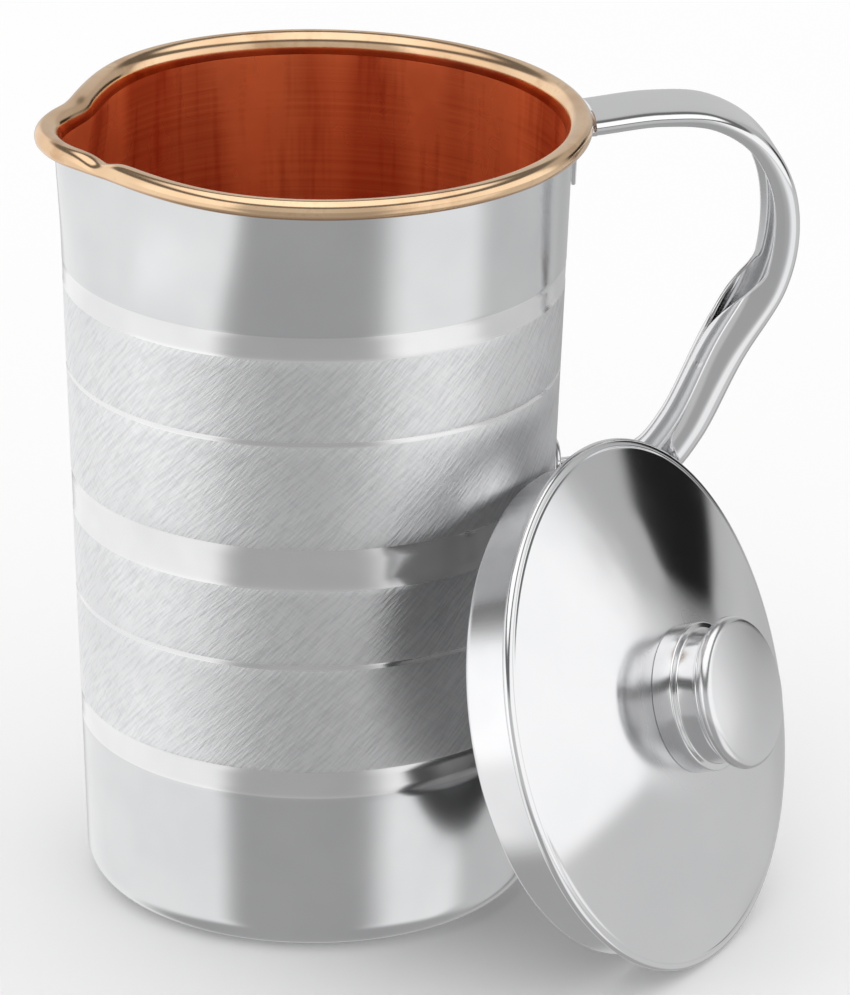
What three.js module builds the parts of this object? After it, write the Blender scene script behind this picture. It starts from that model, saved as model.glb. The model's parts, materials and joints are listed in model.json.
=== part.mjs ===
// A lidded water jug: a steel outer shell over a copper lining, with a pour lip,
// a pressed steel handle, and a lift-off lid that leans against the jug.
// Millimetres, +Z up. The origin is on the jug's axis, at the level of its base.
// The handle is at +X and the pour lip at -X.

import * as THREE from "three";

// ---- Body ----
const MOUTH_Z = 181; // centre of the rolled rim
const BASE_RADIUS = 51.9; // outside of the wall, carried down to the base
const WALL_FLARE = 0.034; // radius gained per millimetre of height
const BASE_CORNER = 7;
const STEEL = 0.6;
const COPPER = 0.6;
const FIT_GAP = 0.3; // between pieces that touch
const BEAD_RADIUS = 2.1;
const BEAD_OFFSET = 0.2; // of the bead from the outside of the wall
const SHELL_TOP = MOUTH_Z - BEAD_RADIUS - FIT_GAP;
const BODY_SEGMENTS = 72;
const CORNER_STEPS = 4;
const BEAD_STEPS = 8;
const SHOULDER_STEPS = 5;
const PRESS_STEPS = 5;

// ---- Pour lip, pressed into the top of the wall ----
const PRESS_START_Z = 146;
const PRESS_TURN = 5; // degrees that the hand-pressed lip is off the axis
const PINCH_BACK = 5.5; // how far the wall is drawn in beside the lip, on its +Y side
const PINCH_FRONT = 3.8;
const PINCH_ANGLE = 27; // degrees from the lip to the deepest pinch
const PINCH_NEAR = 15; // how wide the pinch is towards the lip, and away from it
const PINCH_FAR = 28;
const NOSE = 1.4; // how far the lip itself is pushed out
const NOSE_ANGLE = 14;

// ---- Handle, pressed from a flat blank ----
const HANDLE_STEEL = 1.0;
const STRAP_HALF_WIDTH = 10.5;
const STRAP_DEPTH = 2.6;
const GRIP_HALF_WIDTH = 6.5;
const GRIP_DEPTH = 5.5; // half the tube's depth
const FLAT_CURL = 90 * (Math.PI / 180); // how far each edge is curled from the crown
const CHANNEL_CURL = 92 * (Math.PI / 180);
const SEAM_CURL = 178 * (Math.PI / 180);
const STRAP_SQUARENESS = 4.5;
const GRIP_SQUARENESS = 2.3;
const HANDLE_LENGTH_STEPS = 38;
const HANDLE_WIDTH_STEPS = 14;
const GRIP_END_Z = 91;
const ROOT_SHARE = 0.125; // of the handle's length, over which its root's cut fades

// ---- Handle fixings ----
const TAB_THICKNESS = 1.0;
const TAB_HALF_WIDTH = 7.5;
const TAB_STEPS = 6;
const TAB_FOOT_Z = 166;
const TAB_BEND_Z = 178.3; // underside of the tab's arm close to the wall
const TAB_RISE_Z = 179.6; // and beyond the round rim
const TAB_END_Z = 180.4; // and at its end
const TAB_BEND = 1.4; // how far the outer bend is cut off
const TAB_BEND_REACH = 5; // distances from the wall
const TAB_RISE_REACH = 6.5;
const TAB_END_REACH = 15.5;
const PAD_THICKNESS = 1.0;
const PAD_WIDTH = 24;
const PAD_HEIGHT = 22;
const PAD_ROUNDNESS = 0.35;

// ---- Lid, in its own frame: +Z out of the knob, the rim at z = 0 ----
const LID_RADIUS = 60.3;
const LID_HEM = 1.1; // half the thickness of the hemmed edge
const LID_STEEL = 0.7;
const LID_RISE = 12.6; // from the rim to the top of the dome
const LID_ROUNDNESS = 1.6;
const SCREW_HOLE = 2.9;
const COLLAR_RADIUS = 55.4;
const COLLAR_DEPTH = 13.8;
const COLLAR_TURN = 1.2; // how far the collar's lower edge is turned in
const LID_SEGMENTS = 64;
const KNOB_SEGMENTS = 40;

// ---- Knob ----
const DRUM_RADIUS = 16.8; // lower ring of the knob's hollow drum
const WAIST_RADIUS = 15.2;
const COLLET_RADIUS = 15.9; // narrow ring under the cap
const DRUM_STEEL = 1;
const DRUM_STEP_Z = 16.2;
const COLLET_Z = 20.9;
const DRUM_TOP_Z = 22.2;
const CAP_RADIUS = 17.2;
const CAP_TOP_Z = 26.5;
const CAP_HOLE_DEPTH = 2.4;
const SCREW_RADIUS = 2.4;
const SCREW_HEAD_RADIUS = 5.2;
const SCREW_HEAD_HEIGHT = 3;
const SCREW_HEAD_BEVEL = 1.8;
const WASHER_RADIUS = 8;
const WASHER_THICKNESS = 0.8;

// ---- Where the lid leans ----
const LEAN_AZIMUTH = -37.5 * (Math.PI / 180);
const LEAN_TILT = 18.5 * (Math.PI / 180); // of the lid's face from upright
const LEAN_DISTANCE = 86.5; // from the jug's axis to the centre of the lid's rim
const FLOOR_GAP = 0.3;

const polishedSteel = () =>
  new THREE.MeshStandardMaterial({ color: 0xd3d5d6, roughness: 0.12, metalness: 1 });
const satinSteel = () =>
  new THREE.MeshStandardMaterial({ color: 0xc4c6c7, roughness: 0.35, metalness: 1 });
const copper = () =>
  new THREE.MeshStandardMaterial({ color: 0xc06a41, roughness: 0.28, metalness: 1 });
const screwSteel = () =>
  new THREE.MeshStandardMaterial({ color: 0xb3b6b8, roughness: 0.3, metalness: 1 });

const wallRadius = (z) => BASE_RADIUS + WALL_FLARE * z;
const at = (radius, z) => new THREE.Vector2(radius, z);

// Points on an arc of an ellipse about (radius, z), angles in degrees from +radius.
function arc(radius, z, halfWidth, halfHeight, from, to, steps) {
  return Array.from({ length: steps + 1 }, (_, i) => {
    const angle = THREE.MathUtils.degToRad(from + ((to - from) * i) / steps);
    return at(radius + halfWidth * Math.cos(angle), z + halfHeight * Math.sin(angle));
  });
}

// Turns a profile of (radius, height) points about Z.
function turned(profile, segments) {
  const geometry = new THREE.LatheGeometry(profile, segments);
  geometry.rotateX(Math.PI / 2);
  return geometry;
}

function piece(name, geometry, material) {
  const mesh = new THREE.Mesh(geometry, material);
  mesh.name = name;
  return mesh;
}

// How far the press moves the wall at an angle from the lip, at full strength.
function pressDepth(angle) {
  const turn = THREE.MathUtils.radToDeg(angle) + PRESS_TURN;
  const side = THREE.MathUtils.smoothstep(turn, -PINCH_ANGLE / 2, PINCH_ANGLE / 2);
  const beyond = Math.abs(turn) - PINCH_ANGLE;
  const width = beyond < 0 ? PINCH_NEAR : PINCH_FAR;
  const pinch = THREE.MathUtils.lerp(PINCH_FRONT, PINCH_BACK, side);
  const nose = NOSE * Math.exp(-(Math.abs(turn / NOSE_ANGLE) ** 3));
  return nose - pinch * Math.exp(-((beyond / width) ** 2));
}

// Presses the pour lip into a turned wall: points near the mouth move in or out.
function pressLip(geometry) {
  const position = geometry.attributes.position;
  for (let i = 0; i < position.count; i += 1) {
    const x = position.getX(i);
    const y = position.getY(i);
    const strength = THREE.MathUtils.smoothstep(position.getZ(i), PRESS_START_Z, MOUTH_Z);
    const radius = Math.hypot(x, y);
    if (strength > 0 && radius > 0) {
      const scale = 1 + (strength * pressDepth(Math.atan2(y, -x))) / radius;
      position.setX(i, x * scale);
      position.setY(i, y * scale);
    }
  }
  return geometry;
}

// Heights of the rings that the pressed part of a wall needs, from low to high.
function wallRings() {
  return Array.from(
    { length: PRESS_STEPS + 1 },
    (_, i) => THREE.MathUtils.lerp(PRESS_START_Z, SHELL_TOP, i / PRESS_STEPS),
  );
}

// A cup's profile: its outside from the axis up to the top, then its inside back down.
function cupProfile(inset, thickness, baseZ, rim) {
  const face = (offset, z) => at(wallRadius(z) - offset, z);
  const corner = (offset, z) => {
    const size = BASE_CORNER - offset;
    const centreZ = z + size;
    return arc(wallRadius(centreZ) - offset - size, centreZ, size, size, -90, 0, CORNER_STEPS);
  };
  const rings = wallRings();
  const inner = inset + thickness;
  return [
    at(0, baseZ),
    ...corner(inset, baseZ),
    ...rings.map((z) => face(inset, z)),
    ...rim,
    ...rings.map((z) => face(inner, z)).reverse(),
    ...corner(inner, baseZ + thickness).reverse(),
    at(0, baseZ + thickness),
  ];
}

function outerShell() {
  const profile = cupProfile(0, STEEL, 0, []);
  return piece("outer_shell", pressLip(turned(profile, BODY_SEGMENTS)), satinSteel());
}

// The lining's edge rolls over the shell's edge and makes the round rim.
function copperLining() {
  const inset = STEEL + FIT_GAP;
  const beadCentre = wallRadius(MOUTH_Z) + BEAD_OFFSET + BEAD_RADIUS;
  const innerRadius = wallRadius(MOUTH_Z) - inset - COPPER;
  const underside = MOUTH_Z - BEAD_RADIUS;
  const shoulder = beadCentre - innerRadius;
  const rim = [
    at(wallRadius(underside) - inset, underside),
    ...arc(beadCentre, MOUTH_Z, BEAD_RADIUS, BEAD_RADIUS, -90, 90, BEAD_STEPS),
    ...arc(beadCentre, underside, shoulder, 2 * BEAD_RADIUS, 90, 180, SHOULDER_STEPS).slice(1, -1),
  ];
  const profile = cupProfile(inset, COPPER, inset, rim);
  return piece("copper_lining", pressLip(turned(profile, BODY_SEGMENTS)), copper());
}

// The line of the handle's outer face, seen from the side: x, z.
function handleSpine() {
  const points = [
    [63.2, 181.3],
    [78, 182.7],
    [91, 181.6],
    [101.6, 175.6],
    [108.8, 164.5],
    [111, 151.5],
    [108.6, 137.5],
    [99.4, 120.5],
    [90.2, 101.4],
    [82.6, 92],
    [72, 87],
    [58, GRIP_END_Z - GRIP_DEPTH],
  ];
  return new THREE.CatmullRomCurve3(points.map(([x, z]) => new THREE.Vector3(x, 0, z)));
}

// The pressing at a share t of the handle's length: a flat strap at the rim, then a
// deepening channel around the bend, then a tube whose edges meet in a seam.
function handleSection(t) {
  const { smoothstep, lerp } = THREE.MathUtils;
  const deepening = smoothstep(t, 0.08, 0.48);
  const narrowing = smoothstep(t, 0.2, 0.6);
  const closing = smoothstep(t, 0.48, 0.63);
  return {
    halfWidth: lerp(STRAP_HALF_WIDTH, GRIP_HALF_WIDTH, narrowing),
    depth: lerp(STRAP_DEPTH, GRIP_DEPTH, deepening),
    curl: lerp(lerp(FLAT_CURL, CHANNEL_CURL, deepening), SEAM_CURL, closing),
    squareness: lerp(STRAP_SQUARENESS, GRIP_SQUARENESS, closing),
  };
}

// A point across the pressed sheet: side and depth below the crown, with its normal.
function pressedPoint(section, across) {
  const angle = across * section.curl;
  const power = 2 / section.squareness;
  const cos = Math.cos(angle);
  const sin = Math.sin(angle);
  const side = section.halfWidth * Math.sign(sin) * Math.abs(sin) ** power;
  const up = section.depth * Math.sign(cos) * Math.abs(cos) ** power;
  const normal = at(
    (Math.sign(side) * Math.abs(side / section.halfWidth) ** (section.squareness - 1)) / section.halfWidth,
    (Math.sign(up) * Math.abs(up / section.depth) ** (section.squareness - 1)) / section.depth,
  ).normalize();
  return { side, drop: section.depth - up, normal };
}

// A flat blank, curled across its width and bent along the spine.
function handle() {
  const spine = handleSpine();
  const blank = new THREE.BoxGeometry(2, 1, 1, HANDLE_WIDTH_STEPS, 1, HANDLE_LENGTH_STEPS);
  const position = blank.attributes.position;
  const beadEdge = wallRadius(MOUTH_Z) + BEAD_OFFSET + 2 * BEAD_RADIUS;
  for (let i = 0; i < position.count; i += 1) {
    const along = position.getZ(i) + 0.5;
    const inward = (0.5 - position.getY(i)) * HANDLE_STEEL;
    const { side, drop, normal } = pressedPoint(handleSection(along), position.getX(i));
    const centre = spine.getPointAt(along);
    const tangent = spine.getTangentAt(along);
    const y = side - normal.x * inward;
    const depth = drop + normal.y * inward;
    // The root is cut to the curve of the round rim.
    const rootFade = 1 - Math.min(along / ROOT_SHARE, 1);
    const rootCut = (beadEdge - Math.sqrt(beadEdge ** 2 - y ** 2)) * rootFade;
    position.setXYZ(i, centre.x + tangent.z * depth - rootCut, y, centre.z - tangent.x * depth);
  }
  return piece("handle", blank, polishedSteel());
}

// Curves a plate to the wall: a vertex's x, its distance out from the wall, becomes its place.
function wrapOnWall(geometry) {
  const position = geometry.attributes.position;
  for (let i = 0; i < position.count; i += 1) {
    const radius = wallRadius(position.getZ(i)) + position.getX(i);
    position.setX(i, Math.sqrt(radius ** 2 - position.getY(i) ** 2));
  }
  return geometry;
}

// The tab under the rim: its foot lies on the wall and its arm runs up inside the strap.
function upperTab() {
  const face = FIT_GAP + TAB_THICKNESS;
  const outline = new THREE.Shape([
    at(FIT_GAP, TAB_FOOT_Z),
    at(face, TAB_FOOT_Z),
    at(face, TAB_BEND_Z - TAB_BEND - TAB_THICKNESS),
    at(face + TAB_BEND / 2, TAB_BEND_Z - TAB_THICKNESS),
    at(TAB_BEND_REACH + TAB_THICKNESS / 2, TAB_BEND_Z - TAB_THICKNESS),
    at(TAB_RISE_REACH + TAB_THICKNESS / 2, TAB_RISE_Z - TAB_THICKNESS),
    at(TAB_END_REACH, TAB_END_Z - TAB_THICKNESS),
    at(TAB_END_REACH, TAB_END_Z),
    at(TAB_RISE_REACH, TAB_RISE_Z),
    at(TAB_BEND_REACH, TAB_BEND_Z),
    at(FIT_GAP + TAB_BEND, TAB_BEND_Z),
    at(FIT_GAP, TAB_BEND_Z - TAB_BEND),
  ]);
  const width = 2 * TAB_HALF_WIDTH;
  const sweep = { depth: width, steps: TAB_STEPS, bevelEnabled: false };
  const geometry = new THREE.ExtrudeGeometry(outline, sweep);
  geometry.rotateX(Math.PI / 2);
  geometry.translate(0, TAB_HALF_WIDTH, 0);
  return piece("handle_upper_tab", wrapOnWall(geometry), polishedSteel());
}

// The pad under the handle's lower end: a plate with rounded corners, curved to the wall.
function lowerPad() {
  const plate = new THREE.BoxGeometry(PAD_THICKNESS, 2, 2, 1, 8, 8);
  const position = plate.attributes.position;
  for (let i = 0; i < position.count; i += 1) {
    const across = position.getY(i);
    const up = position.getZ(i);
    position.setY(i, (PAD_WIDTH / 2) * across * Math.sqrt(1 - PAD_ROUNDNESS * up ** 2));
    position.setZ(i, (PAD_HEIGHT / 2) * up * Math.sqrt(1 - PAD_ROUNDNESS * across ** 2));
  }
  plate.translate(FIT_GAP + PAD_THICKNESS / 2, 0, GRIP_END_Z);
  return piece("handle_lower_pad", wrapOnWall(plate), polishedSteel());
}

// Height of the dome's outside at a radius.
function domeHeight(radius) {
  return LID_HEM + (LID_RISE - LID_HEM) * (1 - (radius / (LID_RADIUS - LID_HEM)) ** LID_ROUNDNESS);
}

// The dome, with its edge folded under to make a hem.
function lidDome() {
  const edge = LID_RADIUS - LID_HEM;
  const foldEnd = COLLAR_RADIUS + FIT_GAP;
  const steps = 7;
  const radii = Array.from({ length: steps }, (_, i) => SCREW_HOLE + ((edge - SCREW_HOLE) * i) / steps);
  const inside = radii.filter((radius) => radius < foldEnd - 2);
  const profile = [
    ...inside.map((radius) => at(radius, domeHeight(radius) - LID_STEEL)),
    at(foldEnd, domeHeight(foldEnd) - LID_STEEL),
    at(foldEnd, -LID_HEM),
    ...arc(edge, 0, LID_HEM, LID_HEM, -90, 90, 6),
    ...radii.map((radius) => at(radius, domeHeight(radius))).reverse(),
    at(inside[0], domeHeight(inside[0]) - LID_STEEL),
  ];
  return piece("lid_dome", turned(profile, LID_SEGMENTS), polishedSteel());
}

// The straight collar that drops into the mouth, with its lower edge turned in.
function lidCollar() {
  const inner = COLLAR_RADIUS - LID_STEEL;
  const edge = COLLAR_RADIUS - COLLAR_TURN;
  const top = domeHeight(COLLAR_RADIUS) - LID_STEEL - 1.5 * FIT_GAP;
  const profile = [
    at(inner - COLLAR_TURN, -COLLAR_DEPTH),
    at(edge, -COLLAR_DEPTH),
    ...arc(edge, COLLAR_TURN - COLLAR_DEPTH, COLLAR_TURN, COLLAR_TURN, -60, 0, 2),
    at(COLLAR_RADIUS, top),
    at(inner, top),
    at(inner, COLLAR_TURN + LID_STEEL - COLLAR_DEPTH),
    at(inner - COLLAR_TURN, LID_STEEL - COLLAR_DEPTH),
    at(inner - COLLAR_TURN, -COLLAR_DEPTH),
  ];
  return piece("lid_collar", turned(profile, LID_SEGMENTS), satinSteel());
}

// The hollow drum: a wide ring, a step in to a waist, and a narrow ring under the cap.
function knobDrum() {
  const foot = (radius) => at(radius, domeHeight(radius) + FIT_GAP);
  const insideRadius = WAIST_RADIUS - DRUM_STEEL;
  const footRadius = DRUM_RADIUS - DRUM_STEEL;
  const edge = 0.4;
  const profile = [
    foot(footRadius),
    foot(DRUM_RADIUS),
    at(DRUM_RADIUS, DRUM_STEP_Z - edge),
    at(DRUM_RADIUS - edge, DRUM_STEP_Z),
    at(WAIST_RADIUS, DRUM_STEP_Z + edge),
    at(WAIST_RADIUS, COLLET_Z),
    at(COLLET_RADIUS, COLLET_Z + edge),
    at(COLLET_RADIUS, DRUM_TOP_Z),
    at(SCREW_HOLE, DRUM_TOP_Z),
    at(SCREW_HOLE, DRUM_TOP_Z - DRUM_STEEL),
    at(insideRadius, DRUM_TOP_Z - DRUM_STEEL),
    at(insideRadius, DRUM_STEP_Z - edge),
    at(footRadius, DRUM_STEP_Z - DRUM_STEEL),
    foot(footRadius),
  ];
  return piece("knob_drum", turned(profile, KNOB_SEGMENTS), polishedSteel());
}

// The round cap, with a blind hole below for the screw.
function knobCap() {
  const underside = DRUM_TOP_Z + FIT_GAP;
  const holeTop = underside + CAP_HOLE_DEPTH;
  const lowEdge = 0.9;
  const topEdge = 1.8;
  const crown = 0.7;
  const shoulderZ = CAP_TOP_Z - crown - topEdge;
  const profile = [
    at(0, holeTop),
    at(SCREW_HOLE, holeTop),
    at(SCREW_HOLE, underside),
    at(CAP_RADIUS - lowEdge, underside),
    ...arc(CAP_RADIUS - lowEdge, underside + lowEdge, lowEdge, lowEdge, -60, 0, 2),
    ...arc(CAP_RADIUS - topEdge, shoulderZ, topEdge, topEdge, 0, 80, 4),
    at(CAP_RADIUS / 2, CAP_TOP_Z - crown / 4),
    at(0, CAP_TOP_Z),
  ];
  return piece("knob_cap", turned(profile, KNOB_SEGMENTS), polishedSteel());
}

const washerTop = () => domeHeight(WASHER_RADIUS) - LID_STEEL - FIT_GAP;

function knobWasher() {
  const top = washerTop();
  const profile = [
    at(SCREW_HOLE, top - WASHER_THICKNESS),
    at(WASHER_RADIUS, top - WASHER_THICKNESS),
    at(WASHER_RADIUS, top),
    at(SCREW_HOLE, top),
    at(SCREW_HOLE, top - WASHER_THICKNESS),
  ];
  return piece("knob_washer", turned(profile, KNOB_SEGMENTS), screwSteel());
}

// The screw from inside the lid: a pan head under the washer, its shank in the cap.
function knobScrew() {
  const headTop = washerTop() - WASHER_THICKNESS - FIT_GAP;
  const headLow = headTop - SCREW_HEAD_HEIGHT;
  const shankTop = DRUM_TOP_Z + CAP_HOLE_DEPTH;
  const profile = [
    at(0, headLow),
    at(SCREW_HEAD_RADIUS - SCREW_HEAD_BEVEL, headLow),
    at(SCREW_HEAD_RADIUS, headLow + SCREW_HEAD_BEVEL),
    at(SCREW_HEAD_RADIUS, headTop),
    at(SCREW_RADIUS, headTop),
    at(SCREW_RADIUS, shankTop),
    at(0, shankTop),
  ];
  return piece("knob_screw", turned(profile, 24), screwSteel());
}

function lid() {
  const group = new THREE.Group();
  group.add(lidDome(), lidCollar(), knobDrum(), knobCap(), knobWasher(), knobScrew());
  return group;
}

// Height of the lid's centre when its lowest edge just clears the floor.
function leaningHeight() {
  const rim = (LID_RADIUS - LID_HEM) * Math.cos(LEAN_TILT) + LID_HEM;
  const collar = COLLAR_RADIUS * Math.cos(LEAN_TILT) + COLLAR_DEPTH * Math.sin(LEAN_TILT);
  return Math.max(rim, collar) + FLOOR_GAP;
}

// Stands the lid on its edge against the jug, knob outward.
function leaningLid() {
  const group = lid();
  group.position.set(
    LEAN_DISTANCE * Math.cos(LEAN_AZIMUTH),
    LEAN_DISTANCE * Math.sin(LEAN_AZIMUTH),
    leaningHeight(),
  );
  group.rotation.order = "ZYX";
  group.rotation.z = LEAN_AZIMUTH;
  group.rotation.y = Math.PI / 2 - LEAN_TILT;
  return group;
}

const jug = new THREE.Group();
jug.add(outerShell(), copperLining(), handle(), upperTab(), lowerPad(), leaningLid());

export default jug;
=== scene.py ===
"""Looks for a steel jug with a copper lining and a lift-off lid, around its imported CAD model.

Shapes are given in millimetres in the jug's frame: +Z up, the handle at +X, the pour lip
at -X. Each piece stands for the CAD node of the same name and rides on that node's body.
"""

import json
import math

import bmesh
import bpy
import numpy as np
from mathutils import Matrix, Vector

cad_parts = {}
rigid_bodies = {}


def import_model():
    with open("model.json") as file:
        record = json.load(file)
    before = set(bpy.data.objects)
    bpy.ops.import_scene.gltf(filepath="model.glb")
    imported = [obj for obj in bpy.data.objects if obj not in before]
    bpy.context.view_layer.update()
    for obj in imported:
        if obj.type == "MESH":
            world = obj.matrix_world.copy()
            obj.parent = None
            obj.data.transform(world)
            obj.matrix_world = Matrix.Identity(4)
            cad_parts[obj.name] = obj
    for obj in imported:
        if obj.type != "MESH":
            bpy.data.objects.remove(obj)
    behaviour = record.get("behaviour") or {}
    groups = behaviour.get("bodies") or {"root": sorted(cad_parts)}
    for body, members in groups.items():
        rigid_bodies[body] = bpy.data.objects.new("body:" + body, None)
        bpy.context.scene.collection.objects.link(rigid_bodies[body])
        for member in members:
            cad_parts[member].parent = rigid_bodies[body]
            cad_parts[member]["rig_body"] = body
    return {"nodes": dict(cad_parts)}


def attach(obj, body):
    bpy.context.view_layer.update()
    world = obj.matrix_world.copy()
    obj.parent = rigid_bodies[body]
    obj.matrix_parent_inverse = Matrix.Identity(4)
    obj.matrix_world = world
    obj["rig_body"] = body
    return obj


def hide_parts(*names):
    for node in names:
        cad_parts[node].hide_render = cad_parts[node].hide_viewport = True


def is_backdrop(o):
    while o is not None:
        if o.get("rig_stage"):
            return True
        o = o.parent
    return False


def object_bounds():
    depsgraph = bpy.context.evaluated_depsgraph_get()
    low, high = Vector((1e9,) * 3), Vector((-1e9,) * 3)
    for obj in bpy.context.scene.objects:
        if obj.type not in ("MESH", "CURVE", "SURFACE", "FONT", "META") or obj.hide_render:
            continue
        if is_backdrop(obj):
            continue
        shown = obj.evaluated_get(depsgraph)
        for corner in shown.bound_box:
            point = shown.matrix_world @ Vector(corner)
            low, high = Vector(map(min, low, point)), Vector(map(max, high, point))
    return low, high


MM = 0.001

# ---- Body, as in the CAD ----
MOUTH_Z = 181.0
BASE_RADIUS = 51.9
WALL_FLARE = 0.034
BASE_CORNER = 7.0
STEEL = 0.6
COPPER = 0.6
FIT_GAP = 0.3
BEAD_RADIUS = 2.1
BEAD_OFFSET = 0.2
BEAD_TALL = 1.12
SHELL_TOP = MOUTH_Z - BEAD_RADIUS - FIT_GAP
BODY_SEGMENTS = 288

# ---- Polished bands and fine lines on the wall: low and high edge ----
BANDS = ((38.8, 45.3), (89.7, 99.7), (144.6, 150.4))
LINES = ((70.3, 71.5), (124.3, 125.5))
BAND_DEPTH = 0.07
LINE_DEPTH = 0.8 * BAND_DEPTH
BAND_CHAMFER = 0.25
HATCH_LOW = BANDS[0][1]
HATCH_HIGH = BANDS[-1][0]
# The direction of the diagonal brushing, as a share of a turn.
HATCH_TURN = 0.125
HATCH_DEPTHS = (0.03, 0.016, 0.01)

# ---- Pour lip ----
PRESS_START_Z = 146.0
PRESS_TURN = 5.0
PINCH_BACK = 5.5
PINCH_FRONT = 3.8
PINCH_ANGLE = 27.0
PINCH_NEAR = 15.0
PINCH_FAR = 28.0
NOSE = 1.4
NOSE_ANGLE = 14.0
CREASE = 1.2
CREASE_BACK = 0.25
CREASE_ANGLE = 21.0
CREASE_WIDTH = 4.0

# ---- Handle ----
HANDLE_STEEL = 1.0
STRAP_HALF_WIDTH = 10.5
STRAP_DEPTH = 2.6
GRIP_HALF_WIDTH = 6.5
GRIP_DEPTH = 5.5
FLAT_CURL = math.radians(90)
CHANNEL_CURL = math.radians(92)
SEAM_CURL = math.radians(178)
STRAP_SQUARENESS = 4.5
GRIP_SQUARENESS = 2.3
GRIP_END_Z = 91.0
HANDLE_ROWS = 220
HANDLE_COLUMNS = 56

# ---- Handle fixings ----
TAB_THICKNESS = 1.0
TAB_HALF_WIDTH = 7.5
TAB_FOOT_Z = 166.0
TAB_BEND_Z = 178.3
TAB_RISE_Z = 179.6
TAB_END_Z = 180.4
TAB_BEND = 1.4
TAB_BEND_REACH = 5.0
TAB_RISE_REACH = 6.5
TAB_END_REACH = 15.5
PAD_THICKNESS = 1.0
PAD_WIDTH = 24.0
PAD_HEIGHT = 22.0
PAD_ROUNDNESS = 0.35

# ---- Lid, in its own frame ----
LID_RADIUS = 60.3
LID_HEM = 1.1
LID_STEEL = 0.7
LID_RISE = 12.6
LID_ROUNDNESS = 1.6
SCREW_HOLE = 2.9
COLLAR_RADIUS = 55.4
COLLAR_DEPTH = 13.8
COLLAR_TURN = 1.2
GROOVE_RADIUS = 58.5
GROOVE_WIDTH = 0.4
GROOVE_DEPTH = 0.14
LID_SEGMENTS = 256
DRUM_RADIUS = 16.8
WAIST_RADIUS = 15.2
COLLET_RADIUS = 15.9
DRUM_STEEL = 1.0
DRUM_FOOT_GAP = 0.06
DRUM_STEP_Z = 16.2
COLLET_Z = 20.9
DRUM_TOP_Z = 22.2
CAP_RADIUS = 17.2
CAP_TOP_Z = 26.5
CAP_HOLE_DEPTH = 2.4
SCREW_RADIUS = 2.4
SCREW_HEAD_RADIUS = 5.2
SCREW_HEAD_HEIGHT = 3.0
SCREW_HEAD_BEVEL = 1.8
WASHER_RADIUS = 8.0
WASHER_THICKNESS = 0.8
KNOB_SEGMENTS = 128

# ---- Where the lid leans ----
LEAN_AZIMUTH = math.radians(-37.5)
LEAN_TILT = math.radians(18.5)
LEAN_DISTANCE = 86.5
FLOOR_GAP = 0.3

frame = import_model()
cad_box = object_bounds()


# ---------------------------------------------------------------- shapes


def wall_radius(z):
    return BASE_RADIUS + WALL_FLARE * z


def smoothstep(low, high, value):
    share = np.clip((value - low) / (high - low), 0.0, 1.0)
    return share * share * (3 - 2 * share)


def mix(a, b, share):
    return a + (b - a) * share


def arc(radius, z, half_width, half_height, start, end, steps):
    """Points on an arc of an ellipse about (radius, z), angles in degrees from +radius."""
    angles = np.radians(np.linspace(start, end, steps + 1))
    return [(radius + half_width * math.cos(a), z + half_height * math.sin(a)) for a in angles]


def round_corners(points, radius, steps=4):
    """The profile with each inner corner replaced by a small curve."""
    points = [np.array(p, float) for p in points]
    made = [tuple(points[0])]
    for before, corner, after in zip(points, points[1:], points[2:]):
        a, b = before - corner, after - corner
        la, lb = np.linalg.norm(a), np.linalg.norm(b)
        reach = min(radius, 0.45 * la, 0.45 * lb)
        start, end = corner + a / la * reach, corner + b / lb * reach
        for share in np.linspace(0, 1, steps + 1):
            u = 1 - share
            made.append(tuple(u * u * start + 2 * u * share * corner + share * share * end))
    made.append(tuple(points[-1]))
    return made


def turned(profile, segments):
    """A grid of points: rows follow the profile, columns go round +Z."""
    profile = np.array(profile, float)
    angles = np.linspace(0, 2 * math.pi, segments, endpoint=False)
    radius, z = profile[:, :1], profile[:, 1:]
    return np.stack(
        [radius * np.cos(angles), radius * np.sin(angles), z + 0 * angles], axis=-1
    )


def press_depth(angle):
    """How far the press moves the wall at an angle from the lip, at full strength."""
    turn = np.degrees(angle) + PRESS_TURN
    side = smoothstep(-PINCH_ANGLE / 2, PINCH_ANGLE / 2, turn)
    beyond = np.abs(turn) - PINCH_ANGLE
    width = np.where(beyond < 0, PINCH_NEAR, PINCH_FAR)
    pinch = PINCH_FRONT + (PINCH_BACK - PINCH_FRONT) * side
    nose = NOSE * np.exp(-(np.abs(turn / NOSE_ANGLE) ** 3))
    return nose - pinch * np.exp(-((beyond / width) ** 2))


def press_lip(grid):
    """Presses the pour lip into the top of a turned wall."""
    made = grid.copy()
    radius = np.hypot(grid[..., 0], grid[..., 1])
    strength = smoothstep(PRESS_START_Z, MOUTH_Z, grid[..., 2])
    depth = strength * press_depth(np.arctan2(grid[..., 1], -grid[..., 0]))
    scale = 1 + depth / np.maximum(radius, 1e-6)
    made[..., 0] *= scale
    made[..., 1] *= scale
    # The round rim is folded a little where the lip meets the pinch.
    turn = np.degrees(np.arctan2(grid[..., 1], -grid[..., 0])) + PRESS_TURN
    fold = np.exp(-(((turn + CREASE_ANGLE) / CREASE_WIDTH) ** 2))
    fold += CREASE_BACK * np.exp(-(((turn - CREASE_ANGLE) / CREASE_WIDTH) ** 2))
    made[..., 2] -= CREASE * fold * smoothstep(SHELL_TOP, MOUTH_Z + BEAD_RADIUS, grid[..., 2])
    return made


def grid_faces(rows, columns, wrap_rows, wrap_columns):
    faces = []
    for i in range(rows if wrap_rows else rows - 1):
        for j in range(columns if wrap_columns else columns - 1):
            i2, j2 = (i + 1) % rows, (j + 1) % columns
            faces.append((i * columns + j, i * columns + j2, i2 * columns + j2, i2 * columns + j))
    return faces


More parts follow.
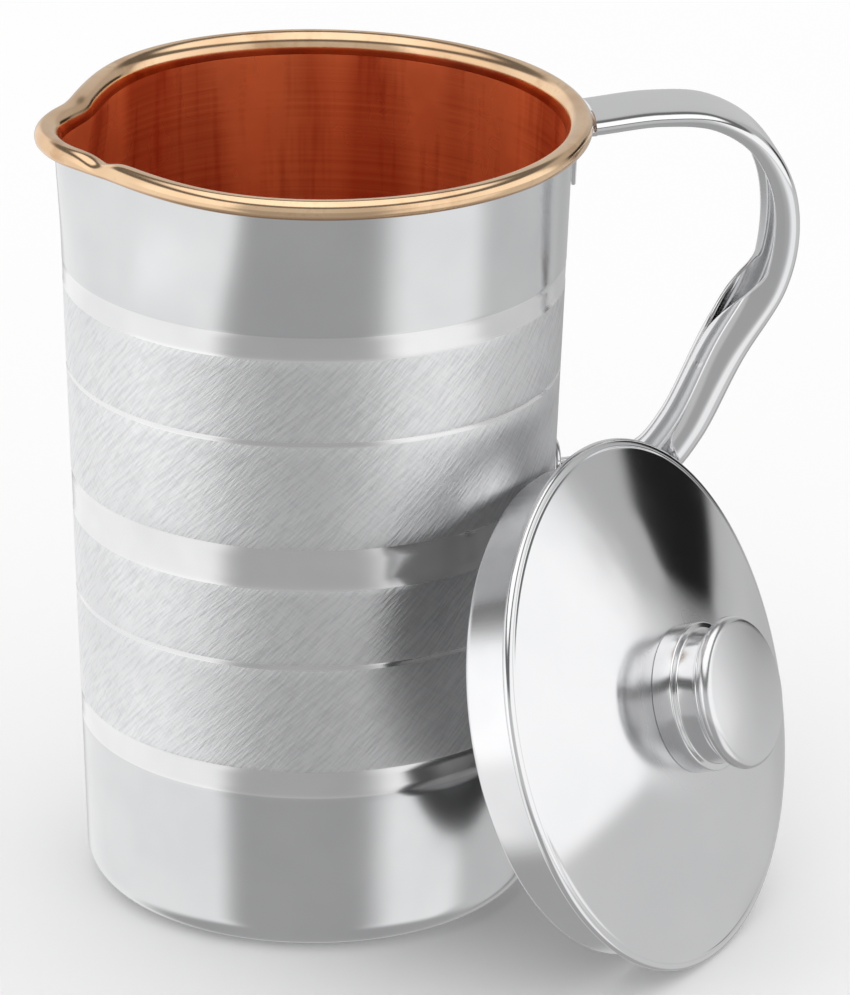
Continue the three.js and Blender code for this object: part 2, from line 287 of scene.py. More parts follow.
def add_piece(name, points, faces, materials, lean=False, sharp=40.0):
    """A smooth-shaded mesh from points in millimetres, standing for the CAD node of its name.
    Its place attribute holds each point as it was made, which the materials are laid out on."""
    mesh = bpy.data.meshes.new(name)
    mesh.from_pydata([tuple(p) for p in np.asarray(points).reshape(-1, 3) * MM], [], faces)
    made = bpy.data.objects.new(name + "_look", mesh)
    bpy.context.scene.collection.objects.link(made)
    clean(mesh)
    place = np.empty(len(mesh.vertices) * 3, np.float32)
    mesh.vertices.foreach_get("co", place)
    mesh.attributes.new("place", "FLOAT_VECTOR", "POINT").data.foreach_set("vector", place)
    if lean:
        mesh.transform(leaning())
    for material in materials:
        mesh.materials.append(material)
    mesh.shade_smooth()
    mesh.set_sharp_from_angle(angle=math.radians(sharp))
    node = frame["nodes"][name]
    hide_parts(name)
    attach(made, node["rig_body"])
    return made


def clean(mesh):
    """Welds the poles and seams of a grid, drops faces of no size, and turns faces outward."""
    work = bmesh.new()
    work.from_mesh(mesh)
    bmesh.ops.remove_doubles(work, verts=work.verts, dist=1e-7)
    bmesh.ops.dissolve_degenerate(work, edges=work.edges, dist=1e-8)
    bmesh.ops.recalc_face_normals(work, faces=work.faces)
    work.to_mesh(mesh)
    work.free()
    mesh.update()


def turned_piece(name, profile, segments, materials, closed=True, pressed=False, **more):
    grid = turned(profile, segments)
    if pressed:
        grid = press_lip(grid)
    faces = grid_faces(*grid.shape[:2], closed, True)
    return add_piece(name, grid, faces, materials, **more)


def set_material_by(made, choose, lean=False):
    """Gives each face the material index that choose(radius, height) says, in millimetres."""
    back = leaning().inverted() if lean else Matrix.Identity(4)
    for face in made.data.polygons:
        centre = back @ face.center / MM
        face.material_index = choose(math.hypot(centre.x, centre.y), centre.z)


# ---------------------------------------------------------------- node helpers


class Tree:
    """Short calls for building a material's or the world's nodes."""

    def __init__(self, owner):
        owner.use_nodes = True
        self.nodes = owner.node_tree.nodes
        self.links = owner.node_tree.links
        self.nodes.clear()

    def add(self, kind, inputs=None, **settings):
        made = self.nodes.new("ShaderNode" + kind)
        for key, value in settings.items():
            setattr(made, key, value)
        for key, value in (inputs or {}).items():
            if isinstance(value, bpy.types.NodeSocket):
                self.links.new(value, made.inputs[key])
            else:
                made.inputs[key].default_value = value
        return made

    def math(self, operation, *values, clamp=False):
        inputs = dict(enumerate(values))
        return self.add("Math", inputs, operation=operation, use_clamp=clamp).outputs[0]

    def remap(self, value, low, high, to_low=0.0, to_high=1.0, smooth=False):
        inputs = {
            "Value": value,
            "From Min": low,
            "From Max": high,
            "To Min": to_low,
            "To Max": to_high,
        }
        kind = "SMOOTHSTEP" if smooth else "LINEAR"
        return self.add("MapRange", inputs, interpolation_type=kind).outputs[0]

    def stretched(self, vector, stretch):
        """The vector with each part multiplied."""
        inputs = {0: vector, 1: stretch}
        return self.add("VectorMath", inputs, operation="MULTIPLY").outputs[0]

    def noise(self, vector, scale, detail=2.0, roughness=0.5):
        inputs = {
            "Vector": vector,
            "Scale": scale,
            "Detail": detail,
            "Roughness": roughness,
        }
        return self.add("TexNoise", inputs).outputs[0]

    def bump(self, height, depth, under=None):
        """Height 0 to 1 stands for a depth in millimetres."""
        inputs = {"Height": height, "Strength": 1.0, "Distance": depth * MM}
        if under is not None:
            inputs["Normal"] = under
        return self.add("Bump", inputs).outputs[0]

    def mix(self, share, a, b):
        made = self.add("Mix", data_type="RGBA")
        sockets = (made.inputs[0], made.inputs[6], made.inputs[7])
        for socket, value in zip(sockets, (share, a, b)):
            if isinstance(value, bpy.types.NodeSocket):
                self.links.new(value, socket)
            else:
                socket.default_value = value
        return made.outputs[2]


def metal(name, colour, dark, roughness, spread, normal=None, anisotropic=0.0, marks=None,
          metallic=1.0, brushed=0.25, duller=None):
    """A metal whose colour and roughness drift a little over the surface. The marks, 0 to 1,
    say where the dark colour shows beyond that, and duller adds to the roughness. Brushed is
    the brushing's direction as a share of a turn, with 0.25 for round the axis."""
    material = bpy.data.materials.new(name)
    tree = Tree(material)
    place = tree.add("Attribute", attribute_name="place").outputs["Vector"]
    drift = tree.noise(place, 38.0, 3.0, 0.55)
    share = tree.remap(drift, 0.35, 0.7)
    if marks:
        share = tree.math("MAXIMUM", tree.math("MULTIPLY", share, 0.5), marks(tree, place))
    rough = tree.remap(drift, 0.3, 0.7, roughness - spread, roughness + spread)
    if duller:
        rough = tree.math("ADD", rough, duller(tree, place))
    inputs = {
        "Base Color": tree.mix(share, (*colour, 1), (*dark, 1)),
        "Metallic": metallic,
        "Roughness": rough,
        "Anisotropic": anisotropic,
    }
    if anisotropic:
        inputs["Anisotropic Rotation"] = brushed
        inputs["Tangent"] = tree.add("Tangent", direction_type="RADIAL", axis="Z").outputs[0]
    if normal:
        inputs["Normal"] = normal(tree, place)
    shader = tree.add("BsdfPrincipled", inputs)
    tree.add("OutputMaterial", {"Surface": shader.outputs[0]})
    return material


def round_brushing(fine, depth, coarse_depth=0.0):
    """Fine lines that run round the object's Z axis."""

    def normal(tree, place):
        lines = tree.noise(tree.stretched(place, (9.0, 9.0, fine)), 1.0, 4.0, 0.7)
        made = tree.bump(lines, depth)
        if coarse_depth:
            waves = tree.noise(tree.stretched(place, (12.0, 12.0, 30.0)), 1.0, 1.0)
            made = tree.bump(waves, coarse_depth, made)
        return made

    return normal


def unrolled(tree, place, radius, turn):
    """The wall laid flat, in metres, with the strokes' direction turned to the first axis."""
    parts = tree.add("SeparateXYZ", {0: place}).outputs
    # The seam is at +X, behind the handle.
    angle = tree.math("ARCTAN2", parts[1], tree.math("MULTIPLY", parts[0], -1.0))
    across = tree.math("MULTIPLY", angle, -radius * MM)
    flat = tree.add("CombineXYZ", {0: across, 1: parts[2]}).outputs[0]
    return tree.add(
        "VectorRotate", {"Vector": flat, "Angle": turn}, rotation_type="Z_AXIS"
    ).outputs[0]


def hatch_height(tree, place, turn, seed, width, length):
    """Short straight strokes: 0 is the plain wall and 1 the middle of a stroke."""
    flat = unrolled(tree, place, wall_radius(95), turn)
    moved = tree.add("VectorMath", {0: flat, 1: (seed, seed, 0)}, operation="ADD").outputs[0]
    strokes = tree.noise(
        tree.stretched(moved, (1 / (length * MM), 1 / (width * MM), 0)), 1.0, 2.0, 0.55
    )
    return tree.remap(strokes, 0.38, 0.68)


def hatch_layers(tree, place):
    """Diagonal hand brushing: most strokes rise one way, and some cross them."""
    return (
        hatch_height(tree, place, math.radians(-42), 3.1, 0.75, 9.0),
        hatch_height(tree, place, math.radians(-55), 7.7, 0.5, 6.0),
        hatch_height(tree, place, math.radians(38), 5.3, 0.8, 8.0),
    )


def hatched(tree, place):
    made = None
    for layer, depth in zip(hatch_layers(tree, place), HATCH_DEPTHS):
        made = tree.bump(layer, depth, made)
    return made


def hatch_marks(tree, place):
    main, steep, cross = hatch_layers(tree, place)
    marks = tree.math("MULTIPLY", main, 0.55)
    marks = tree.math("ADD", marks, tree.math("MULTIPLY", steep, 0.35))
    return tree.math("ADD", marks, tree.math("MULTIPLY", cross, 0.2), clamp=True)


def round_the_knob(tree, place):
    """Duller steel close to the knob, where the polishing wheel doesn't reach."""
    parts = tree.add("SeparateXYZ", {0: place}).outputs
    flat = tree.add("CombineXYZ", {0: parts[0], 1: parts[1]}).outputs[0]
    radius = tree.add("VectorMath", {0: flat}, operation="LENGTH").outputs["Value"]
    return tree.remap(radius, 30 * MM, 19 * MM, 0.0, 0.18, smooth=True)


def reflection_streaks_and_brushing(tree, place):
    """Painted reflection streaks: broad and narrow bands that run up the wall. Fine brushing
    lines run round it.
    """
    parts = tree.add("SeparateXYZ", {0: place}).outputs
    angle = tree.math("ARCTAN2", parts[1], parts[0])
    around = tree.add("CombineXYZ", {
        0: tree.math("COSINE", angle), 1: tree.math("SINE", angle),
        2: tree.math("MULTIPLY", parts[2], 1.5),
    }).outputs[0]
    # The broad and narrow bands are painted reflection streaks. The fine lines below are
    # brushing.
    broad = tree.remap(tree.noise(around, 3.2, 1.0, 0.4), 0.4, 0.62)
    narrow = tree.remap(tree.noise(around, 16.0, 2.0, 0.6), 0.5, 0.75)
    fine = tree.noise(tree.stretched(place, (6.0, 6.0, 900.0)), 1.0, 3.0, 0.7)
    lines = tree.remap(fine, 0.35, 0.75)
    marks = tree.math("MULTIPLY", broad, 0.65)
    marks = tree.math("ADD", marks, tree.math("MULTIPLY", narrow, 0.4))
    return tree.math("ADD", marks, tree.math("MULTIPLY", lines, 0.3), clamp=True)


def rim_shade_and_tarnish(tree, place):
    """Painted shade: browner copper under the round rim, where it meets the steel. Browner
    tarnish lies in patches round it.
    """
    parts = tree.add("SeparateXYZ", {0: place}).outputs
    height = tree.math("SUBTRACT", parts[2], MOUTH_Z * MM)
    # Painted shade under the bead, where it meets the steel.
    under = tree.remap(height, -0.4 * MM, -1.6 * MM, smooth=True)
    patches = tree.remap(tree.noise(place, 60.0, 4.0, 0.65), 0.48, 0.7)
    fine = tree.remap(tree.noise(place, 700.0, 2.0, 0.6), 0.45, 0.8)
    marks = tree.math("MAXIMUM", under, tree.math("MULTIPLY", patches, 0.7))
    return tree.math("MAXIMUM", marks, tree.math("MULTIPLY", fine, 0.35))


def buffed(tree, place):
    """Soft unevenness of a hand-buffed sheet."""
    waves = tree.noise(place, 55.0, 1.0, 0.4)
    fine = tree.noise(place, 900.0, 3.0, 0.6)
    return tree.bump(fine, 0.0006, tree.bump(waves, 0.012))


def axial_brushing(tree, place):
    """Fine lines that run along the object's Z axis, round a collar."""
    lines = tree.noise(tree.stretched(place, (1500.0, 1500.0, 25.0)), 1.0, 3.0, 0.6)
    return tree.bump(lines, 0.004)


STEEL_WHITE = (0.80, 0.80, 0.81)
STEEL_GREY = (0.74, 0.745, 0.755)

smooth_steel = metal(
    "smooth_steel", (0.74, 0.745, 0.75), (0.69, 0.695, 0.705), 0.16, 0.02,
    round_brushing(1400.0, 0.0012, 0.01), 0.5,
)
band_steel = metal(
    "band_steel", (0.88, 0.88, 0.88), STEEL_WHITE, 0.17, 0.02,
    round_brushing(1100.0, 0.0016), 0.4,
)
hatch_steel = metal(
    "hatch_steel", (0.90, 0.905, 0.91), (0.68, 0.685, 0.695), 0.38, 0.03, hatched, 0.75,
    marks=hatch_marks, brushed=HATCH_TURN,
)
mirror_steel = metal("mirror_steel", STEEL_WHITE, (0.77, 0.775, 0.785), 0.1, 0.02, buffed)
lid_steel = metal(
    "lid_steel", STEEL_WHITE, (0.77, 0.775, 0.785), 0.1, 0.015, buffed, duller=round_the_knob,
)
# Painted shade: the lid's inside faces get a darker, duller copy of its steel, standing in for
# the shade inside the lid.
shaded_lid_inside = metal("shaded_lid_inside", (0.42, 0.42, 0.425), (0.34, 0.34, 0.345), 0.38, 0.04, buffed)
drum_steel = metal("drum_steel", (0.84, 0.84, 0.845), STEEL_GREY, 0.14, 0.03, buffed)
cap_steel = metal("cap_steel", STEEL_WHITE, STEEL_GREY, 0.22, 0.03, buffed)
collar_steel = metal("collar_steel", STEEL_WHITE, STEEL_GREY, 0.17, 0.03, axial_brushing)
screw_steel = metal("screw_steel", (0.62, 0.62, 0.63), (0.5, 0.5, 0.51), 0.3, 0.05, buffed)
# Painted shade: the inside's deep red and dark red stand in for the redder, darker light that
# bounces round the hollow. The rim copper keeps copper's own colour.
shaded_copper_inside = metal(
    "shaded_copper_inside", (1.0, 0.28, 0.095), (0.5, 0.07, 0.02), 0.26, 0.05,
    round_brushing(900.0, 0.006, 0.03), 0.5, marks=reflection_streaks_and_brushing, metallic=0.52,
)
copper_rim = metal(
    "copper_rim", (0.93, 0.67, 0.43), (0.56, 0.32, 0.17), 0.14, 0.04, buffed,
    marks=rim_shade_and_tarnish,
)


# ---------------------------------------------------------------- jug


def corner(offset, base_z, steps):
    size = BASE_CORNER - offset
    centre_z = base_z + size
    return arc(wall_radius(centre_z) - offset - size, centre_z, size, size, -90, 0, steps)


def wall_heights(step=3.0):
    """Heights that a plain wall needs, closer together where the lip is pressed."""
    plain = np.arange(BASE_CORNER + step, PRESS_START_Z, step)
    return [*plain, *np.linspace(PRESS_START_Z, SHELL_TOP, 26)]


def shell_face():
    """The outer wall, with its recessed bands and lines, from low to high."""
    marks = []
    for low, high in (*BANDS, *LINES):
        depth = BAND_DEPTH if (low, high) in BANDS else LINE_DEPTH
        slope = min(BAND_CHAMFER, (high - low) / 4)
        inside = np.linspace(low + slope, high - slope, 5)
        marks += [(low, 0.0), *[(z, depth) for z in inside], (high, 0.0)]
    clear = [
        z for z in wall_heights()
        if all(not low - 0.6 < z < high + 0.6 for low, high in (*BANDS, *LINES))
    ]
    marks += [(z, 0.0) for z in clear]
    return [(wall_radius(z) - depth, z) for z, depth in sorted(marks)]


def outer_shell():
    inside = [(wall_radius(z) - STEEL, z) for z in wall_heights()]
    profile = [
        (0.0, 0.0),
        (BASE_RADIUS / 2, 0.0),
        *corner(0.0, 0.0, 14),
        *shell_face(),
        *reversed(inside),
        *reversed(corner(STEEL, STEEL, 14)),
        (0.0, STEEL),
    ]
    made = turned_piece(
        "outer_shell", profile, BODY_SEGMENTS, [smooth_steel, band_steel, hatch_steel],
        closed=False, pressed=True, sharp=60.0,
    )

    def choose(_, z):
        if any(low <= z <= high for low, high in (*BANDS, *LINES)):
            return 1
        return 2 if HATCH_LOW < z < HATCH_HIGH else 0

    set_material_by(made, choose)
    return made


def copper_lining():
    inset = STEEL + FIT_GAP
    bead_centre = wall_radius(MOUTH_Z) + BEAD_OFFSET + BEAD_RADIUS
    inner_radius = wall_radius(MOUTH_Z) - inset - COPPER
    underside = MOUTH_Z - BEAD_RADIUS
    shoulder = bead_centre - inner_radius
    bead_top = MOUTH_Z + BEAD_RADIUS * BEAD_TALL
    roll = [
        (
            bead_centre - shoulder * math.cos(a) ** 0.8,
            underside + (bead_top - underside) * math.sin(a) ** 0.8,
        )
        for a in np.radians(np.linspace(90, 0, 20)[1:-1])
    ]
    rings = wall_heights()
    profile = [
        (0.0, inset),
        *corner(inset, inset, 10),
        *[(wall_radius(z) - inset, z) for z in rings],
        (wall_radius(underside) - inset, underside),
        *arc(bead_centre, MOUTH_Z, BEAD_RADIUS, BEAD_RADIUS, -90, 0, 14)[:-1],
        *arc(bead_centre, MOUTH_Z, BEAD_RADIUS, bead_top - MOUTH_Z, 0, 90, 14),
        *roll,
        *[(wall_radius(z) - inset - COPPER, z) for z in reversed(rings)],
        *reversed(corner(inset + COPPER, inset + COPPER, 14)),
        (BASE_RADIUS / 2, inset + COPPER),
        (0.0, inset + COPPER),
    ]
    made = turned_piece(
        "copper_lining", profile, BODY_SEGMENTS, [shaded_copper_inside, copper_rim],
        closed=False, pressed=True, sharp=60.0,
    )
    # Faces below the rim take the inside copper, with its painted shade.
    set_material_by(made, lambda _, z: 1 if z > SHELL_TOP else 0)
    return made


# ---------------------------------------------------------------- handle


def spine():
    """The line of the handle's outer face, seen from the side: x, z."""
    return np.array([
        (63.2, 181.3), (78, 182.7), (91, 181.6), (101.6, 175.6), (108.8, 164.5),
        (111, 151.5), (108.6, 137.5), (99.4, 120.5), (90.2, 101.4), (82.6, 92),
        (72, 87), (58, GRIP_END_Z - GRIP_DEPTH),
    ], float)


def smooth_line(points, count):
    """Even steps along a centripetal Catmull-Rom curve, with its direction at each."""
    ends = np.vstack([2 * points[0] - points[1], points, 2 * points[-1] - points[-2]])
    dense = []
    for p0, p1, p2, p3 in zip(ends, ends[1:], ends[2:], ends[3:]):
        d0, d1, d2 = (np.sqrt(np.linalg.norm(b - a)) for a, b in ((p0, p1), (p1, p2), (p2, p3)))
        t1 = d1 * ((p1 - p0) / d0 - (p2 - p0) / (d0 + d1) + (p2 - p1) / d1)
        t2 = d1 * ((p2 - p1) / d1 - (p3 - p1) / (d1 + d2) + (p3 - p2) / d2)
        s = np.linspace(0, 1, 60, endpoint=False)[:, None]
        dense.append(
            p1 + t1 * s + (3 * (p2 - p1) - 2 * t1 - t2) * s**2 + (2 * (p1 - p2) + t1 + t2) * s**3
        )
    dense = np.vstack([*dense, points[-1:]])
    lengths = np.concatenate([[0], np.cumsum(np.linalg.norm(np.diff(dense, axis=0), axis=1))])
    even = np.linspace(0, lengths[-1], count)
    line = np.stack([np.interp(even, lengths, dense[:, k]) for k in range(2)], axis=1)
    tangent = np.gradient(line, axis=0)
    return line, tangent / np.linalg.norm(tangent, axis=1)[:, None]


def pressed_sheet(along, across, inward, overhang):
    """Side, depth below the crown, and both moved inward through the sheet."""
    deepening = smoothstep(0.08, 0.48, along)
    narrowing = smoothstep(0.15, 0.68, along)
    rounding = smoothstep(0.35, 0.72, along)
    closing = smoothstep(0.48, 0.63, along)
    half_width = mix(STRAP_HALF_WIDTH, GRIP_HALF_WIDTH, narrowing)
    depth = mix(STRAP_DEPTH, GRIP_DEPTH, deepening)
    curl = mix(mix(FLAT_CURL, CHANNEL_CURL, deepening), SEAM_CURL, closing)
    square = mix(STRAP_SQUARENESS, GRIP_SQUARENESS, rounding)
    power = 2 / square

    def curve(share):
        cos, sin = np.cos(share * curl), np.sin(share * curl)
        return (
            half_width * np.sign(sin) * np.abs(sin) ** power,
            depth * np.sign(cos) * np.abs(cos) ** power,
        )

    side, up = curve(across)
    n_side = np.sign(side) * np.abs(side / half_width) ** (square - 1) / half_width
    n_up = np.sign(up) * np.abs(up / depth) ** (square - 1) / depth
    size = np.hypot(n_side, n_up)
    n_side, n_up = n_side / size, n_up / size
    # The overhang runs on past the sheet's edge, square to the normal.
    way = np.sign(across) * overhang
    return (
        side - n_side * inward + n_up * way,
        depth - up + n_up * inward + n_side * way,
    )


def handle():
    line, tangent = smooth_line(spine(), HANDLE_ROWS)
    # The section: across the outside, round one edge, back across the inside, round the other.
    across = np.linspace(-1, 1, HANDLE_COLUMNS)
    edge = ((0.12, 0.16), (0.5, 0.3), (0.88, 0.16))
    loop = [(a, 0.0, 0.0) for a in across]
    loop += [(1.0, depth, out) for depth, out in edge]
    loop += [(a, 1.0, 0.0) for a in across[::-1]]
    loop += [(-1.0, depth, out) for depth, out in reversed(edge)]
    bead_edge = wall_radius(MOUTH_Z) + BEAD_OFFSET + 2 * BEAD_RADIUS
    grid = np.zeros((HANDLE_ROWS, len(loop), 3))
    for i in range(HANDLE_ROWS):
        along = i / (HANDLE_ROWS - 1)
        for j, (a, depth, out) in enumerate(loop):
            side, drop = pressed_sheet(along, a, depth * HANDLE_STEEL, out * HANDLE_STEEL)
            # The strap's end is cut to the round rim, less and less over its first eighth.
            cut = (bead_edge - math.sqrt(bead_edge**2 - side**2)) * (1 - min(along * 8, 1))
            grid[i, j] = (
                line[i, 0] + tangent[i, 1] * drop - cut,
                side,
                line[i, 1] - tangent[i, 0] * drop,
            )
    faces = grid_faces(HANDLE_ROWS, len(loop), False, True)
    faces += end_caps(HANDLE_ROWS, HANDLE_COLUMNS, len(edge), len(loop))
    return add_piece("handle", grid, faces, [mirror_steel], sharp=50.0)


def end_caps(rows, columns, edge, loop):
    """Faces that close a sheet's two ends, between its outside and its inside."""
    faces = []
    last = (rows - 1) * loop
    for start in (0, last):
        for k in range(columns - 1):
            inner = 2 * columns + edge - 1 - k
            faces.append((start + k, start + k + 1, start + inner - 1, start + inner))
        right = [columns - 1 + k for k in range(edge + 2)]
        left = [(2 * columns + edge - 1 + k) % loop for k in range(edge + 2)]
        faces.append(tuple(start + k for k in right))
        faces.append(tuple(start + k for k in left))
    return faces


def on_wall(x, y, z):
    """A point that stands x out from the wall and y to the side."""
    radius = wall_radius(z) + x
    return (math.sqrt(radius**2 - y**2), y, z)


def upper_tab():
    face = FIT_GAP + TAB_THICKNESS
    outline = round_corners([
        (FIT_GAP, TAB_FOOT_Z + 4),
        (FIT_GAP, TAB_FOOT_Z),
        (face, TAB_FOOT_Z),
        (face, TAB_BEND_Z - TAB_BEND - TAB_THICKNESS),
        (face + TAB_BEND / 2, TAB_BEND_Z - TAB_THICKNESS),
        (TAB_BEND_REACH + TAB_THICKNESS / 2, TAB_BEND_Z - TAB_THICKNESS),
        (TAB_RISE_REACH + TAB_THICKNESS / 2, TAB_RISE_Z - TAB_THICKNESS),
        (TAB_END_REACH, TAB_END_Z - TAB_THICKNESS),
        (TAB_END_REACH, TAB_END_Z),
        (TAB_RISE_REACH, TAB_RISE_Z),
        (TAB_BEND_REACH, TAB_BEND_Z),
        (FIT_GAP + TAB_BEND, TAB_BEND_Z),
        (FIT_GAP, TAB_BEND_Z - TAB_BEND),
        (FIT_GAP, TAB_FOOT_Z + 4),
    ], 0.35, 3)[:-1]
    sides = np.linspace(-TAB_HALF_WIDTH, TAB_HALF_WIDTH, 25)
    grid = np.array([[on_wall(x, y, z) for x, z in outline] for y in sides])
    faces = grid_faces(*grid.shape[:2], False, True)
    count = grid.shape[1]
    faces += [tuple(range(count)), tuple(range((len(sides) - 1) * count, len(sides) * count))]
    made = add_piece("handle_upper_tab", grid, faces, [mirror_steel])
    bevel(made, 0.2)
    return made


def bevel(made, width):
    modifier = made.modifiers.new("edges", "BEVEL")
    modifier.width = width * MM
    modifier.segments = 3
    modifier.limit_method = "ANGLE"
    modifier.angle_limit = math.radians(50)


def lower_pad():
    """A plate with rounded corners and edges, curved to the wall."""
    steps = 28
    edge = 0.3
    layers = ((0.0, edge), (0.1, 0.1), (0.3, 0.0), (0.7, 0.0), (0.9, 0.1), (1.0, edge))
    share = np.linspace(-1, 1, steps)
    rim = [
        *[(s, -1.0) for s in share], *[(1.0, s) for s in share[1:]],
        *[(s, 1.0) for s in share[-2::-1]], *[(-1.0, s) for s in share[-2:0:-1]],
    ]

    def place(across, up, height, inset):
        width = PAD_WIDTH / 2 - inset
        tall = PAD_HEIGHT / 2 - inset
        y = width * across * math.sqrt(1 - PAD_ROUNDNESS * up**2)
        z = GRIP_END_Z + tall * up * math.sqrt(1 - PAD_ROUNDNESS * across**2)
        return on_wall(FIT_GAP + height * PAD_THICKNESS, y, z)

    points = [place(a, u, height, inset) for height, inset in layers for a, u in rim]
    faces = grid_faces(len(layers), len(rim), False, True)
    for height, inset in (layers[0], layers[-1]):
        start = len(points)
        points += [place(a, u, height, inset) for u in share for a in share]
        faces += [
            tuple(start + k for k in face) for face in grid_faces(steps, steps, False, False)
        ]
    return add_piece("handle_lower_pad", points, faces, [mirror_steel])


# ---------------------------------------------------------------- lid


def dome_height(radius):
    edge = LID_RADIUS - LID_HEM
    return LID_HEM + (LID_RISE - LID_HEM) * (1 - (radius / edge) ** LID_ROUNDNESS)


def leaning():
    """Where the lid stands: on its edge against the jug, knob outward."""
    rim = (LID_RADIUS - LID_HEM) * math.cos(LEAN_TILT) + LID_HEM
    collar = COLLAR_RADIUS * math.cos(LEAN_TILT) + COLLAR_DEPTH * math.sin(LEAN_TILT)
    place = Vector((
        LEAN_DISTANCE * math.cos(LEAN_AZIMUTH),
        LEAN_DISTANCE * math.sin(LEAN_AZIMUTH),
        max(rim, collar) + FLOOR_GAP,
    ))
    turn = Matrix.Rotation(LEAN_AZIMUTH, 4, "Z")
    tip = Matrix.Rotation(math.pi / 2 - LEAN_TILT, 4, "Y")
    return Matrix.Translation(place * MM) @ (turn @ tip)


def lid_dome():
    edge = LID_RADIUS - LID_HEM
    fold_end = COLLAR_RADIUS + FIT_GAP
    radii = [*np.linspace(SCREW_HOLE, fold_end - 1, 50), *np.linspace(fold_end, edge, 34)]
    inside = [r for r in radii if r < fold_end - 0.5]

    def outside(r):
        groove = GROOVE_DEPTH * math.exp(-(((r - GROOVE_RADIUS) / GROOVE_WIDTH) ** 2))
        return (r, dome_height(r) - groove)

    profile = [
        *[(r, dome_height(r) - LID_STEEL) for r in inside],
        (fold_end, dome_height(fold_end) - LID_STEEL),
        (fold_end, -LID_HEM + 0.3),
        (fold_end + 0.3, -LID_HEM),
        *arc(edge, 0, LID_HEM, LID_HEM, -90, 78, 20),
        *[outside(r) for r in reversed(radii[:-1])],
    ]
    made = turned_piece(
        "lid_dome", profile, LID_SEGMENTS, [lid_steel, shaded_lid_inside], lean=True
    )
    # The faces under the dome take the darker steel, which is painted shade.
    half = LID_STEEL / 2
    set_material_by(
        made, lambda r, z: 1 if r < fold_end - 0.2 and z < dome_height(r) - half else 0, True
    )
    return made


def lid_collar():
    inner = COLLAR_RADIUS - LID_STEEL
    edge = COLLAR_RADIUS - COLLAR_TURN
    low = COLLAR_TURN - COLLAR_DEPTH
    top = dome_height(COLLAR_RADIUS) - LID_STEEL - 1.5 * FIT_GAP
    profile = [
        (inner - COLLAR_TURN, LID_STEEL / 2 - COLLAR_DEPTH),
        (inner - COLLAR_TURN + 0.2, -COLLAR_DEPTH),
        (edge, -COLLAR_DEPTH),
        *arc(edge, low, COLLAR_TURN, COLLAR_TURN, -80, 0, 8),
        *[(COLLAR_RADIUS, z) for z in np.linspace(low + 0.5, top, 12)],
        *[(inner, z) for z in np.linspace(top, low + LID_STEEL, 12)],
        (inner - 0.5, LID_STEEL + 0.3 - COLLAR_DEPTH),
        (inner - COLLAR_TURN, LID_STEEL - COLLAR_DEPTH),
    ]
    made = turned_piece(
        "lid_collar", profile, LID_SEGMENTS, [collar_steel, shaded_lid_inside], lean=True
    )
    # The collar's inner faces take the darker steel, which is painted shade.
    set_material_by(made, lambda r, z: 1 if r < inner + 0.2 and z > low else 0, True)
    return made


def knob_drum():
    """A hollow drum: a wide ring, a step in to a waist, and a narrow ring under the cap."""

    def foot(radius):
        return (radius, dome_height(radius) + DRUM_FOOT_GAP)

    inside = WAIST_RADIUS - DRUM_STEEL
    foot_radius = DRUM_RADIUS - DRUM_STEEL
    middle = foot(DRUM_RADIUS - DRUM_STEEL / 2)
    profile = round_corners([
        middle,
        foot(DRUM_RADIUS),
        (DRUM_RADIUS, DRUM_STEP_Z),
        (WAIST_RADIUS, DRUM_STEP_Z + 0.3),
        (WAIST_RADIUS, COLLET_Z),
        (COLLET_RADIUS, COLLET_Z + 0.4),
        (COLLET_RADIUS, DRUM_TOP_Z),
        (SCREW_HOLE, DRUM_TOP_Z),
        (SCREW_HOLE, DRUM_TOP_Z - DRUM_STEEL),
        (inside, DRUM_TOP_Z - DRUM_STEEL),
        (inside, DRUM_STEP_Z - 0.4),
        (foot_radius, DRUM_STEP_Z - DRUM_STEEL),
        foot(foot_radius),
        middle,
    ], 0.45, 5)[:-1]
    return turned_piece("knob_drum", profile, KNOB_SEGMENTS, [drum_steel], lean=True)


def knob_cap():
    underside = DRUM_TOP_Z + FIT_GAP
    hole_top = underside + CAP_HOLE_DEPTH
    low_edge = 0.9
    top_edge = 1.8
    crown = 0.7
    face = CAP_RADIUS - top_edge
    profile = [
        (0.0, hole_top),
        (SCREW_HOLE, hole_top),
        (SCREW_HOLE, underside),
        (CAP_RADIUS - 3, underside),
        *arc(CAP_RADIUS - low_edge, underside + low_edge, low_edge, low_edge, -90, 0, 8),
        *arc(face, CAP_TOP_Z - crown - top_edge, top_edge, top_edge, 0, 82, 14),
        *[(r, CAP_TOP_Z - crown * (r / face) ** 2) for r in np.linspace(face - 0.4, 0, 18)],
    ]
    return turned_piece(
        "knob_cap", profile, KNOB_SEGMENTS, [cap_steel], closed=False, lean=True
    )


def washer_top():
    return dome_height(WASHER_RADIUS) - LID_STEEL - FIT_GAP


def knob_washer():
    top = washer_top()
    low = top - WASHER_THICKNESS
    profile = round_corners([
        (SCREW_HOLE, (top + low) / 2), (SCREW_HOLE, low), (WASHER_RADIUS, low),
        (WASHER_RADIUS, top), (SCREW_HOLE, top), (SCREW_HOLE, (top + low) / 2),
    ], 0.15, 3)
    return turned_piece("knob_washer", profile, KNOB_SEGMENTS, [screw_steel], lean=True)


